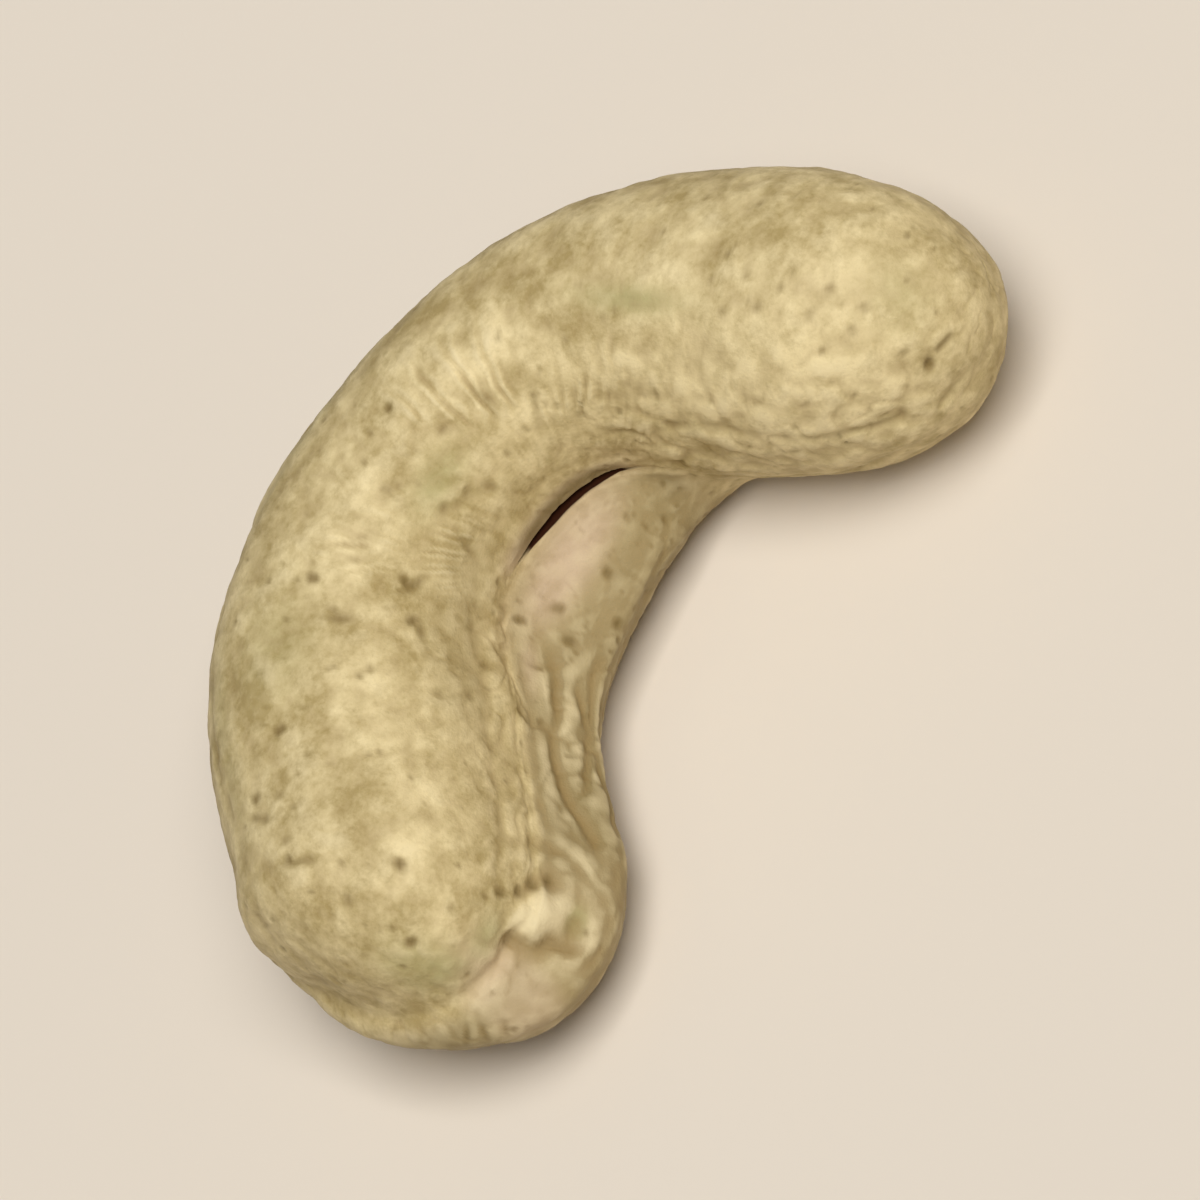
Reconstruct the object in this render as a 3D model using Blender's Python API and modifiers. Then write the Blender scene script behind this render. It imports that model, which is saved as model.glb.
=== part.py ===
"""A cashew kernel lying on its flatter cheek: one closed solid, in metres, +Z up.

The kernel is a thick crescent of two halves that grew pressed together. The line between the
halves runs all the way round it, opens into a slit at the inner bend, and holds the tip of the
germ near one end. The crescent lies level, with its hollow side towards -Y, the blunt end
towards +X and the germ end towards -X.
"""

import bpy
import numpy as np

MM = 0.001

# The spine from the blunt end to the germ end, at even steps. Each row is: X, Y, half the width
# across the spine, height of the upper half, height of the lower half, how far the lower half
# stands out past the upper one in the hollow, and how many degrees the line between the halves
# drops below the spine's plane there. Lengths are in millimetres.
SPINE_ROWS = (
    (12.1, -3.8, 3.8, 4.1, 4.1, 0.0, 20.0),
    (9.5, -1.0, 3.7, 4.4, 4.3, 0.0, 28.0),
    (7.3, 2.4, 3.7, 4.6, 4.4, 0.2, 28.0),
    (4.4, 5.1, 3.2, 4.7, 4.5, 1.6, 2.0),
    (0.4, 6.1, 3.2, 4.8, 4.5, 2.4, -6.0),
    (-3.7, 5.4, 3.6, 4.8, 4.5, 2.3, -6.0),
    (-7.0, 2.9, 4.0, 4.6, 4.5, 1.8, -4.0),
    (-9.6, -0.6, 3.7, 4.3, 4.4, 2.0, -4.0),
    (-12.2, -2.5, 4.0, 4.0, 4.1, 1.9, -8.0),
)
SPINE_LENGTH = 32.0

# The cross-section is a superellipse of this power. It closes over these shares of the spine.
SECTION_POWER = 2.25
BLUNT_CAP = 0.17
GERM_CAP = 0.15

# Degrees past the line between the halves over which the lower half comes out and goes back.
SHELF_RISE = 40.0
SHELF_FALL_START = 48.0
SHELF_FALL = 62.0

# The line between the halves, and the slit that it opens into, at a share of the spine's length.
SEAM_DEPTH = 0.2
SEAM_WIDTH = 0.25
BACK_SEAM_DEPTH = 0.12
SLIT_DEPTH = 1.4
SLIT_PLACE = 0.45
SLIT_REACH = 0.08

# The tip of the germ, beside the line on the lower half.
GERM_PLACE = 0.9
GERM_ANGLE = 190.0
GERM_HEIGHT = 0.8
GERM_LENGTH = 1.2
GERM_WIDTH = 1.1

# The upper half stops short of the lower one at the germ end, from this place on the spine on.
SHORTFALL = 0.6
SHORTFALL_START = 0.8
STEP_HEIGHT = 1.6
STEP_MIDDLE = 0.6

# The flat spot that the kernel rests on, below the spine's plane, and the middle of its outline.
REST_DEPTH = 4.25
MIDDLE_X = 0.14
MIDDLE_Y = 2.08

# Subdivision draws a ring in by about this much, so the cage is made larger by it.
CAGE_GROWTH = 1.012
RINGS = 28
ANGLE_STEPS = 11
LINE_SPACING = 4.0
SUBDIVISION = 1

KERNEL_COLOUR = (0.745, 0.62, 0.34, 1.0)
KERNEL_ROUGHNESS = 0.5


def spine_at(at):
    """Natural cubic curve through the spine's rows, taken at even steps of 0..1."""
    rows = np.array(SPINE_ROWS)
    last = len(rows) - 1
    step = 1.0 / last
    matrix = np.eye(last + 1)
    right = np.zeros(rows.shape)
    for i in range(1, last):
        matrix[i, i - 1:i + 2] = (1.0, 4.0, 1.0)
        right[i] = 6.0 * (rows[i + 1] - 2.0 * rows[i] + rows[i - 1]) / step**2
    bend = np.linalg.solve(matrix, right)
    left = np.clip((at / step).astype(int), 0, last - 1)
    b = (at / step - left)[:, None]
    a = 1.0 - b
    straight = a * rows[left] + b * rows[left + 1]
    return straight + step**2 / 6.0 * ((a**3 - a) * bend[left] + (b**3 - b) * bend[left + 1])


def ease(x):
    """0 below 0, 1 above 1, and a smooth step between."""
    x = np.clip(x, 0.0, 1.0)
    return x * x * (3.0 - 2.0 * x)


def cap_scale(place):
    """Size of the cross-section along the spine: 1, closing to 0 at each end like an ellipsoid."""
    blunt = np.clip(1.0 - place / BLUNT_CAP, 0.0, 1.0)
    germ = np.clip(1.0 - (1.0 - place) / GERM_CAP, 0.0, 1.0)
    return np.sqrt(np.clip(1.0 - blunt**2, 0.0, 1.0) * np.clip(1.0 - germ**2, 0.0, 1.0))


def kernel_surface(place, angle):
    """Points in millimetres for every place 0..1 on the spine and angle in degrees around it.

    Angle 0 is the outer side, 90 the top, 180 the line between the halves in the hollow and
    270 the underside. Each cross-section is a superellipse, with the lower half standing out
    in the hollow. Grooves and the germ's tip are added along the section's own radius.
    """
    columns = spine_at(place).T[:, :, None]
    x, y, half_width, top, bottom, overhang, drop = columns
    nudge = 1e-4
    ahead = spine_at(np.minimum(place + nudge, 1.0))
    behind = spine_at(np.maximum(place - nudge, 0.0))
    along = (ahead - behind)[:, :2]
    along /= np.linalg.norm(along, axis=1)[:, None]
    scale = cap_scale(place)[:, None]
    place = place[:, None]
    angle = angle[None, :]

    inner = (1.0 - np.cos(np.radians(angle))) / 2.0
    turn = np.radians(angle + drop * inner)
    height = np.where(np.sin(turn) > 0.0, top, bottom)
    radius = ((np.abs(np.cos(turn)) / half_width)**SECTION_POWER
              + (np.abs(np.sin(turn)) / height)**SECTION_POWER)**(-1.0 / SECTION_POWER)
    below = angle - 180.0
    shelf = ease(below / SHELF_RISE) * (1.0 - ease((below - SHELF_FALL_START) / SHELF_FALL))
    across = radius * np.cos(turn) - overhang * shelf
    up = radius * np.sin(turn)

    from_seam = np.radians(below) * radius * scale
    from_back = np.radians(np.where(angle > 180.0, angle - 360.0, angle)) * radius * scale
    slit = np.exp(-((place - SLIT_PLACE) / SLIT_REACH)**4)
    groove = (SEAM_DEPTH + SLIT_DEPTH * slit) * np.exp(-(from_seam / SEAM_WIDTH)**2)
    groove = groove + BACK_SEAM_DEPTH * np.exp(-(from_back / SEAM_WIDTH)**2)
    germ_along = (place - GERM_PLACE) * SPINE_LENGTH / GERM_LENGTH
    germ_round = np.radians(angle - GERM_ANGLE) * radius / GERM_WIDTH
    germ = GERM_HEIGHT * np.exp(-(germ_along**2 + germ_round**2)**1.3)
    size = (1.0 - scale * (groove - germ) / np.hypot(across, up)) * scale * CAGE_GROWTH
    across = across * size
    up = up * size

    seam_up = radius * np.sin(np.radians(180.0 + drop)) * scale * inner
    short = SHORTFALL * ease((place - SHORTFALL_START) / (1.0 - SHORTFALL_START))
    short = short * ease((up - seam_up) / STEP_HEIGHT + STEP_MIDDLE)
    return np.stack([
        x + across * along[:, 1:] - short * along[:, :1],
        y - across * along[:, :1] - short * along[:, 1:],
        up,
    ], axis=-1)


def cage_angles():
    """Angles of a ring's points: close together at the two lines, even between them."""
    even = np.linspace(0.0, 180.0, ANGLE_STEPS + 1)[1:-2]
    half = [0.0, LINE_SPACING, *even, 180.0 - 2.0 * LINE_SPACING, 180.0 - LINE_SPACING]
    return np.array(half + [180.0] + [360.0 - angle for angle in half[:0:-1]])


def build_kernel(collection):
    """A loft of rings along the spine, closed at each end, smoothed by subdivision."""
    angles = cage_angles()
    count = len(angles)
    # Rings sit closer together towards the ends, where the kernel rounds off.
    place = 0.5 - 0.5 * np.cos(np.pi * np.linspace(0.0, 1.0, RINGS + 2))
    rings = kernel_surface(place, angles)
    points = np.concatenate([rings[:1, 0], rings[1:-1].reshape(-1, 3), rings[-1:, 0]]) * MM

    def ring(i):
        return [1 + i * count + j for j in range(count)] + [1 + i * count]

    faces = []
    first, last = ring(0), ring(RINGS - 1)
    for j in range(count):
        faces.append((0, first[j], first[j + 1]))
        faces.append((len(points) - 1, last[j + 1], last[j]))
    for i in range(RINGS - 1):
        here, there = ring(i), ring(i + 1)
        for j in range(count):
            faces.append((here[j], there[j], there[j + 1], here[j + 1]))

    mesh = bpy.data.meshes.new("cashew_kernel")
    mesh.from_pydata(points.tolist(), [], faces)
    mesh.shade_smooth()
    kernel = bpy.data.objects.new("cashew_kernel", mesh)
    kernel.location = (-MIDDLE_X * MM, -MIDDLE_Y * MM, REST_DEPTH * MM)
    collection.objects.link(kernel)
    smoothing = kernel.modifiers.new("Smoothing", "SUBSURF")
    smoothing.levels = SUBDIVISION
    smoothing.render_levels = SUBDIVISION
    return kernel


def build_rest_cutter(collection):
    """A block below the ground plane, which takes the flat spot off the underside."""
    size = 60.0 * MM
    bpy.ops.mesh.primitive_cube_add(size=size, location=(0.0, 0.0, -size / 2.0))
    cutter = bpy.context.object
    cutter.name = "rest_cutter"
    for owner in cutter.users_collection:
        owner.objects.unlink(cutter)
    collection.objects.link(cutter)
    cutter.hide_render = True
    cutter.display_type = "WIRE"
    return cutter


def kernel_material():
    """Raw peeled kernel: pale straw cream, matt with a faint waxy sheen."""
    material = bpy.data.materials.new("kernel_cream")
    material.use_nodes = True
    shader = material.node_tree.nodes["Principled BSDF"]
    shader.inputs["Base Color"].default_value = KERNEL_COLOUR
    shader.inputs["Roughness"].default_value = KERNEL_ROUGHNESS
    shader.inputs["Metallic"].default_value = 0.0
    return material


def main():
    for old in list(bpy.data.objects):
        bpy.data.objects.remove(old)
    parts = bpy.data.collections.new("cashew_nut")
    cutters = bpy.data.collections.new("cutters")
    for collection in (parts, cutters):
        bpy.context.scene.collection.children.link(collection)

    kernel = build_kernel(parts)
    kernel.data.materials.append(kernel_material())
    cut = kernel.modifiers.new("Flat spot", "BOOLEAN")
    cut.operation = "DIFFERENCE"
    cut.object = build_rest_cutter(cutters)


main()
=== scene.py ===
import math

import bpy
import numpy as np
from mathutils import Matrix, Vector


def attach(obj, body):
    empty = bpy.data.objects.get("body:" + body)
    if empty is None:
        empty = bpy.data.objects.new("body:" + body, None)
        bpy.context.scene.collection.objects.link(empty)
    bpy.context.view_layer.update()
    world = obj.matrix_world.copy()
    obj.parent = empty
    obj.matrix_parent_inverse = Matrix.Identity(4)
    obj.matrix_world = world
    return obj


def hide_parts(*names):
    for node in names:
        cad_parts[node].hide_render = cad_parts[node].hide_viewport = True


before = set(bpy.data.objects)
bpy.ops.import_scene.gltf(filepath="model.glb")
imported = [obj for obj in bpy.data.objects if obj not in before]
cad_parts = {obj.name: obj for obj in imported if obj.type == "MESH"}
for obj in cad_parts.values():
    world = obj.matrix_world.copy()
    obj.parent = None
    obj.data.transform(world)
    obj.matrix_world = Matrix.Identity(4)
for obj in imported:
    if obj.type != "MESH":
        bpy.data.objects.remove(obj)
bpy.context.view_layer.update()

# Lengths are in millimetres until a piece is written into its mesh.
MM = 0.001

# The spine from the blunt end to the germ end, at even steps. Each row is: X, Y, half the width
# across the spine, height of the upper half, height of the lower half, how far the lower half
# stands out past the upper one in the hollow, and how many degrees the line between the halves
# drops below the spine's plane there.
SPINE_ROWS = (
    (12.1, -3.8, 3.8, 4.1, 4.1, 0.0, 20.0),
    (9.5, -1.0, 3.7, 4.4, 4.3, 0.0, 28.0),
    (7.3, 2.4, 3.7, 4.6, 4.4, 0.2, 28.0),
    (4.4, 5.1, 3.2, 4.7, 4.5, 1.6, 2.0),
    (0.4, 6.1, 3.2, 4.8, 4.5, 2.4, -6.0),
    (-3.7, 5.4, 3.6, 4.8, 4.5, 2.3, -6.0),
    (-7.0, 2.9, 4.0, 4.6, 4.5, 1.8, -4.0),
    (-9.6, -0.6, 3.7, 4.3, 4.4, 2.0, -4.0),
    (-12.2, -2.5, 4.0, 4.0, 4.1, 1.9, -8.0),
)
SPINE_LENGTH = 32.0

# The cross-section is a superellipse of this power. It closes over these shares of the spine.
SECTION_POWER = 2.25
BLUNT_CAP = 0.17
GERM_CAP = 0.15

# Degrees past the line between the halves over which the lower half comes out and goes back.
SHELF_RISE = 40.0
SHELF_FALL_START = 48.0
SHELF_FALL = 62.0

# The upper half stops short of the lower one at the germ end, from this place on the spine on.
SHORTFALL = 0.6
SHORTFALL_START = 0.8
STEP_HEIGHT = 1.6
STEP_MIDDLE = 0.6

# The flat spot that the kernel rests on, below the spine's plane, and the middle of its outline.
REST_DEPTH = 4.25
MIDDLE = (0.14, 2.08)

# Marks are given as a place 0..1 along the spine and an angle in degrees around it: 0 is the
# outer side, 90 the top, 180 the line between the halves and 270 the underside. A row of waves
# is: how high, and how far apart. A run is: where it starts and ends, and the fade inside it. Where
# something is broken or patchy, the row is: its share, how much that changes, and how far apart.

# A curve given by pairs has its corners rounded over about this much on both sides.
CORNER_ROUNDING = 0.012

# The line between the halves in the hollow, as pairs of place and angle, and its depth and half
# its width, as pairs of place and millimetres.
SEAM_LINE = ((0.0, 180.0), (0.30, 178.0), (0.36, 178.6), (0.43, 180.7), (0.50, 180.0),
             (0.57, 178.0), (0.68, 182.0), (0.84, 184.0), (0.90, 182.0), (0.94, 180.0),
             (1.0, 180.0))
SEAM_DEPTHS = ((0.0, 0.02), (0.08, 0.03), (0.20, 0.10), (0.50, 0.08), (0.58, 0.04), (0.76, 0.04),
               (0.86, 0.12), (1.0, 0.12))
SEAM_WIDTHS = ((0.0, 0.22), (0.55, 0.22), (0.66, 0.32), (0.88, 0.32), (0.94, 0.22), (1.0, 0.22))
SEAM_WAVES = ((0.05, 1.3),)

# The line on the outer side. Its depth is a share of the first row's, and waves about it.
BACK_SEAM_DEPTHS = ((0.0, 0.02), (0.06, 0.03), (0.16, 0.12), (1.0, 0.12))
BACK_SEAM_WIDTH = 0.26
BACK_SEAM_WAVES = ((0.22, 3.1), (0.08, 1.1))
BACK_SEAM_SHARE = 0.65
BACK_SEAM_UNEVEN = ((0.6, 2.4),)

# Near the very end both lines give way to a groove around the tip, just under the line's level.
TIP_START = 0.965
TIP_BLEND = 0.02
TIP_GROOVE = (0.12, -0.1, 0.4)
TIP_WAVES = ((0.06, 1.0),)

# Around the germ end the lower half stands out from the line by this much, over a soft step.
STEP_START = 0.938
STEP_BLEND = 0.03
STEP_OUT = 0.10
STEP_RISE = -0.12
STEP_SOFTNESS = 0.2
STEP_REACH = 1.5

# The slit that the line opens into at the inner bend, half its opening in degrees, the share of
# that at its ends, and how quickly it closes there. Far from it the mesh isn't drawn together.
SLIT_DEPTH = 1.5
SLIT_OPENING = 1.5
SLIT_ENDS = 0.4
SLIT_PLACE = 0.446
SLIT_REACH = 0.068
SLIT_FADE = 3.0
SLIT_FAR = 0.12
SLIT_FAR_BLEND = 0.08

# The run inside the slit that is painted black as shade, in half openings from the line.
SLIT_SHADE_RUN = (0.0, 2.75, 0.3)

# How far the upper half's edge curls out over the line, in pairs of place and millimetres.
LIP = ((0.0, 0.0), (0.30, 0.0), (0.36, 0.05), (0.43, 0.04), (0.50, 0.03), (0.56, 0.05),
       (0.63, 0.15), (0.74, 0.30), (0.81, 0.25), (0.87, 0.28), (0.92, 0.05), (0.95, 0.0),
       (1.0, 0.0))

# Over how many degrees above the line it rises.
LIP_SPAN = 19.0

# Below the line the lip falls away in two parts: share of its height, and over how many degrees.
LIP_FALLS = ((0.15, 7.0), (0.85, 18.0))

# The lip is pinker beside the slit: degrees above the line, half the width, and the run.
LIP_PINK = (3.0, 6.0)
LIP_PINK_RUN = (0.33, 0.58, 0.06)

# Mesh density: rings along the spine, points around each, less than the least gap between rings
# at a spot, and the least length that a degree counts for. The points crowd together near some
# angles, the same on both sides. Each row is: angle, half the width, and how much closer.
RINGS = 446
AROUND = 216
RING_GAP = 0.03
LEAST_PER_DEGREE = 0.005
CROWDING = ((165.0, 45.0, 0.7), (180.0, 6.5, 4.0), (0.0, 5.0, 1.5))

# The points of a ring are pulled over to the line, and together at the slit, for about as many
# degrees from it.
SEAM_PULL = 40.0
SLIT_PULL = 20.0

# Lumps as height, size and how many layers, creases as depth, how far apart and half
# the width, and streaks along the spine.
BROAD_LUMPS = (0.10, 5.5, 1)
LUMPS = (0.07, 2.2, 4)
SMALL_LUMPS = (0.050, 0.75, 2)
WIDE_CREASES = (0.040, 1.5, 0.17)
FINE_CREASES = (0.022, 0.8, 0.17)
CREASE_PATCHES = (0.5, 0.9, 2.6)
STREAK_LENGTH = 2.2
STREAK_WIDTH = 0.4
STREAK_HEIGHT = 0.010
NOISE_SEED = 11

# Share of the full crumpling on the whole surface, and more of it on two runs of places and
# angles.
CRUMPLE_SHARE = 0.45
CRUMPLED_RUNS = (
    (1.0, (0.02, 0.36, 0.1), (100.0, 178.0, 30.0)),
    (0.6, (0.55, 0.97, 0.1), (160.0, 235.0, 15.0)),
)

# Pits, as place and angle.
DEEP_PITS = (
    (0.645, 101), (0.624, 132), (0.669, 137), (0.766, 88), (0.803, 72), (0.872, 80),
    (0.895, 122), (0.493, 98), (0.598, 188), (0.597, 202), (0.487, 204), (0.535, 214),
    (0.901, 167), (0.894, 176), (0.884, 184), (0.879, 190), (0.955, 130), (0.560, 197),
    (0.043, 139),
)
SHALLOW_PITS = (
    (0.673, 110), (0.733, 122), (0.720, 84), (0.823, 74), (0.812, 82), (0.881, 88),
    (0.852, 81), (0.924, 100), (0.923, 144), (0.694, 170), (0.756, 145), (0.747, 159),
    (0.742, 185), (0.799, 206), (0.527, 73), (0.478, 116), (0.535, 133), (0.509, 136),
    (0.491, 144), (0.149, 84), (0.168, 94), (0.139, 94), (0.065, 101), (0.086, 92),
    (0.103, 99), (0.077, 107), (0.052, 124), (0.156, 148), (0.355, 134),
)
SCATTERED_PITS = 1100

# Radius, depth and darkness of the deep and the shallow pits, and of the faintest and the
# strongest of the scattered ones, which lie between two places. Every pit is stretched by a
# random amount, and this flat in its middle.
DEEP_PIT = (0.15, 0.075, 0.9)
SHALLOW_PIT = (0.14, 0.045, 0.38)
FAINT_PIT = (0.05, 0.015, 0.12)
STRONG_PIT = (0.10, 0.045, 0.62)
PIT_PLACES = (0.012, 0.99)
PIT_STRETCHES = (0.8, 1.35)
PIT_FLATNESS = 1.2
PIT_SEED = 5

# Longer hollows: place, angle, half length, half width, turn from the spine's way, and depth.
SMEARS = (
    (0.043, 138, 0.24, 0.14, 60.0, 0.09), (0.681, 112, 0.36, 0.12, 90.0, 0.06),
    (0.626, 135, 0.36, 0.14, -40.0, 0.08), (0.679, 140, 0.30, 0.13, 10.0, 0.07),
    (0.555, 148, 0.40, 0.12, 70.0, 0.04), (0.817, 70, 0.26, 0.12, 50.0, 0.06),
    (0.878, 84, 0.34, 0.10, 90.0, 0.06), (0.895, 121, 0.30, 0.16, 60.0, 0.05),
    (0.395, 128, 0.50, 0.12, 80.0, 0.04), (0.430, 118, 0.40, 0.12, 100.0, 0.04),
    (0.990, 208, 0.28, 0.07, 80.0, 0.06), (0.984, 206, 0.30, 0.08, 95.0, 0.06),
    (0.977, 209, 0.24, 0.07, 85.0, 0.05),
)

# Lines pressed into the surface along the spine: depth, half the width, then pairs of place and
# angle. They wander, fade at their ends over a share of the spine, and break into dashes, the
# folds of the lower half only in part.
LINE_WAVES = ((0.16, 1.9), (0.08, 0.7))
LINE_FADE = 0.03
FOLD_FADE = 0.05
COMMA_FADE = 0.003
DASHES = (0.7, 1.2, 0.8)
FOLD_BREAKS = 0.4
RIM_LINE = (0.07, 0.18, ((0.046, 168), (0.082, 155), (0.118, 146), (0.15, 139), (0.18, 133),
                         (0.21, 129), (0.28, 136), (0.335, 144)))
CHEEK_LINE = (0.05, 0.22, ((0.48, 143), (0.54, 134), (0.62, 132), (0.67, 137), (0.72, 146)))
OUTER_LINE = (0.055, 0.15, ((0.50, 60), (0.56, 60), (0.62, 56), (0.74, 53), (0.83, 58)))
COMMA_LINE = (0.06, 0.11, ((0.023, 130), (0.028, 133), (0.034, 136)))
EDGE_LINES = (
    (0.06, 0.22, ((0.62, 165), (0.72, 169), (0.79, 169), (0.86, 166), (0.90, 162))),
    (0.03, 0.20, ((0.74, 174), (0.82, 175), (0.87, 173))),
)
HOLLOW_LINES = (
    (0.16, 0.17, ((0.65, 198), (0.715, 199), (0.78, 197), (0.816, 198), (0.842, 205))),
    (0.13, 0.15, ((0.69, 206), (0.742, 209), (0.772, 210), (0.81, 205))),
    (0.12, 0.16, ((0.61, 212), (0.67, 212), (0.72, 212), (0.77, 213), (0.83, 217))),
    (0.06, 0.20, ((0.70, 190), (0.76, 190), (0.83, 190), (0.86, 192))),
    (0.05, 0.12, ((0.64, 193), (0.68, 194), (0.74, 194))),
    (0.09, 0.19, ((0.56, 219), (0.66, 219), (0.76, 220), (0.86, 225))),
    (0.07, 0.20, ((0.48, 226), (0.60, 228), (0.78, 229), (0.90, 232))),
    (0.05, 0.20, ((0.40, 216), (0.47, 221), (0.54, 224))),
)

# How strongly a line or a smear is coloured, for each millimetre of its depth.
LINE_OLIVE = 3.0
COMMA_DARK = 12.0
SMEAR_DARK = 9.0

# The wrinkles across the upper half fan out from a middle place: how much closer they get for
# each degree past the top, within two limits. Then their height, the share and the step of each
# of their sines, in millimetres along the top, the runs of places and angles that they lie in,
# how they wander and how they break up. Then the same for the faint arcs past them.
TOP_LENGTH = 34.0
FAN_MIDDLE = 0.49
FAN_CLOSING = 0.0075
FAN_CLOSENESS = (0.3, 1.3)
FAN_HEIGHT = 0.028
FAN_STEPS = ((1.0, 0.54), (0.6, 0.37))
FAN_RUNS = ((0.25, 0.68, 0.08), (82.0, 162.0, 24.0))
FAN_WAVES = ((0.28, 1.3), (0.14, 0.5))
FAN_PATCHES = (0.5, 1.1, 1.0)
ARC_HEIGHT = 0.006
ARC_STEP = 0.26
ARC_RUNS = ((0.56, 0.66, 0.03), (88.0, 138.0, 16.0))
ARC_WAVES = ((0.2, 1.6),)

# The germ's tip is three small blocks with slanting sides. Each row is: how far around the spine
# and along it from the germ's middle, half its size both ways, turn in degrees, and height.
GERM_PLACE = 0.901
GERM_ANGLE = 188.0
GERM_BLOCKS = (
    (0.04, -0.20, 0.56, 0.42, 35.0, 0.42),
    (-0.24, 0.34, 0.62, 0.40, 12.0, 0.42),
    (0.56, -0.50, 0.44, 0.40, 60.0, 0.26),
)

# How far a block's edges slant, how steeply its sides fall and how much its top slopes. The
# edges are rounded by averaging this many times, and the tip is pale where it is this high.
BLOCK_SLANT = 0.12
BLOCK_STEEPNESS = 2.2
BLOCK_SLOPE = 0.3
EDGE_STEPS = 3
PALE_HEIGHT = 0.3

# The marks at the germ start at this place and fade over this depth from its surface.
GERM_START = 0.8
GERM_REACH = 2.2

# The germ end is fuller at its outer corner and rounder at the lower half's edge than the plain
# form. Each row is: place, angle, half the spot's size along the spine and around it, and height.
GERM_END_SPOTS = ((0.893, 2.0, 1.5, 2.4, 0.27), (0.922, 219.0, 1.3, 0.8, -0.24))

# The folds of the lower half that curl around the germ, as radius, height and half the width.
# The last is a groove. Their run is in degrees around the tip, and their height is uneven.
GERM_FOLDS = ((1.48, 0.07, 0.28), (2.12, 0.07, 0.28), (1.8, -0.05, 0.14))
FOLD_WAVES = ((0.22, 1.1), (0.06, 0.4))
FOLD_RUN = (-105.0, 50.0, 40.0)
FOLD_UNEVEN = (0.8, 0.5, 1.2)

# The hollows close round the tip: a ring, as radius, depth and half the width, and a dent beside
# it, as place along and around, half its size both ways, and depth.
GERM_RING = (0.85, 0.04, 0.22)
GERM_DENT = (-0.05, 1.05, 0.5, 0.28, 0.12)

# The groove beneath the tip, as pairs of angle and place, with its depth, half its width, and the
# length of the spine that one step of place stands for there.
BENEATH_LINE = ((170, 0.936), (178, 0.922), (186, 0.919), (191, 0.917), (198, 0.910),
                (206, 0.906), (211, 0.901), (217, 0.900))
BENEATH_RUN = (172, 219, 12)
BENEATH_FROM = (0.921, 192.0)
BENEATH_DEPTH = 0.13
BENEATH_WIDTH = 0.12
# How dark the groove is painted, as shade under the tip.
BENEATH_SHADE = 0.25
BENEATH_WAVES = ((0.16, 0.9), (0.06, 0.4))
BENEATH_PATCHES = (0.75, 0.8, 0.7)
GERM_END_LENGTH = 39.0

# The cavity mark is full where the surface lies this far below its average, which is taken with
# the neighbouring points this many times. It carries painted shade into the hollows and a painted
# highlight onto the crests.
CAVITY_DEPTH = 0.07
CAVITY_STEPS = 14

# The tawny tone on the lower half's hollow side, partly its own colour and partly painted shade:
# where it starts and over how much it grows, for the drop below the line, the share that faces the
# hollow, and the height from the spine's plane.
TAWNY_DROP = (0.05, 0.5)
TAWNY_FACING = (-0.35, 0.5)
TAWNY_BOTTOM = (-4.35, 0.9)

# The places it covers, how much less it is where the surface is pink, how pink it is itself, and
# how much less it is on a spot around the germ.
TAWNY_PLACES = (0.28, 1.1, 0.06)
TAWNY_LOSS_AT_PINK = 0.7
TAWNY_PINK = 0.28
TAWNY_GAP = (0.901, 196.0, 1.5, 1.5)
TAWNY_GAP_LOSS = 0.6

# As painted shade it lies thinly on the upper half's edge, and fully on the lip over the slit,
# which is a band at a distance from the line, painted darker up to a distance.
EDGE_SHADE = 0.35
EDGE_SHADE_RUNS = ((0.50, 0.82, 0.08), (132.0, 182.0, 22.0))
LIP_SHADE_PLACES = (0.34, 0.56, 0.06)
LIP_SHADE_BAND = (-0.2, 0.3)
LIP_SHADE = 0.75
LIP_SHADE_END = 0.1

# Where the kernel is pinker, paler or greener. Each row is: place, angle, half the length, half
# the width, strength, and how flat the spot is in its middle.
PINK_STAINS = (
    (0.50, 194.0, 2.6, 0.9, 1.0, 1.5), (0.66, 192.0, 1.2, 0.4, 0.8, 1.0),
    (0.955, 196.0, 1.2, 2.4, 0.7, 2.0),
)
CREAM_STAINS = (
    (0.15, 112.0, 3.8, 2.2, 1.3, 1.0), (0.60, 112.0, 1.5, 1.2, 0.6, 1.0),
    (0.40, 100.0, 2.2, 0.9, 0.5, 1.0), (0.88, 130.0, 1.5, 1.0, 1.0, 1.0),
    (0.76, 118.0, 1.6, 1.2, 0.4, 1.0), (0.75, 190.0, 1.6, 0.3, 0.5, 1.0),
    (0.97, 200.0, 0.9, 0.8, 0.8, 1.0), (0.10, 137.0, 2.0, 0.9, 1.1, 1.0),
)
OLIVE_STAINS = (
    (0.899, 200.5, 0.42, 0.28, 1.0, 1.3), (0.250, 90.0, 1.3, 0.36, 1.0, 1.0),
    (0.519, 126.0, 0.9, 0.55, 0.75, 1.0), (0.972, 146.0, 0.8, 1.3, 0.85, 1.0),
    (0.935, 167.0, 0.7, 0.5, 0.9, 1.0), (0.53, 66.0, 2.6, 0.4, 0.35, 1.0),
    (0.75, 62.0, 2.8, 0.5, 0.3, 1.0), (0.70, 90.0, 1.6, 1.1, 0.35, 1.0),
    (0.04, 100.0, 0.8, 1.0, 0.35, 1.0),
)

# Colours of the kernel, and of the shade and highlights painted on it, as linear light.
STRAW = (0.415, 0.316, 0.134, 1.0)
CREAM = (0.805, 0.668, 0.375, 1.0)
PINK = (0.620, 0.465, 0.325, 1.0)
# Tawny tone of the lower half's hollow side, partly painted shade, and painted shade on the upper
# half's edge and the lip.
TAWNY_AND_SHADE = (0.285, 0.217, 0.096, 1.0)
OLIVE = (0.410, 0.375, 0.165, 1.0)
# Painted shade in the hollows of the surface.
HOLLOW_SHADE = (0.300, 0.205, 0.080, 1.0)
# The germ's pale tip, and the painted highlight on the crests.
PALE_AND_HIGHLIGHT = (0.800, 0.680, 0.420, 1.0)
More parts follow.
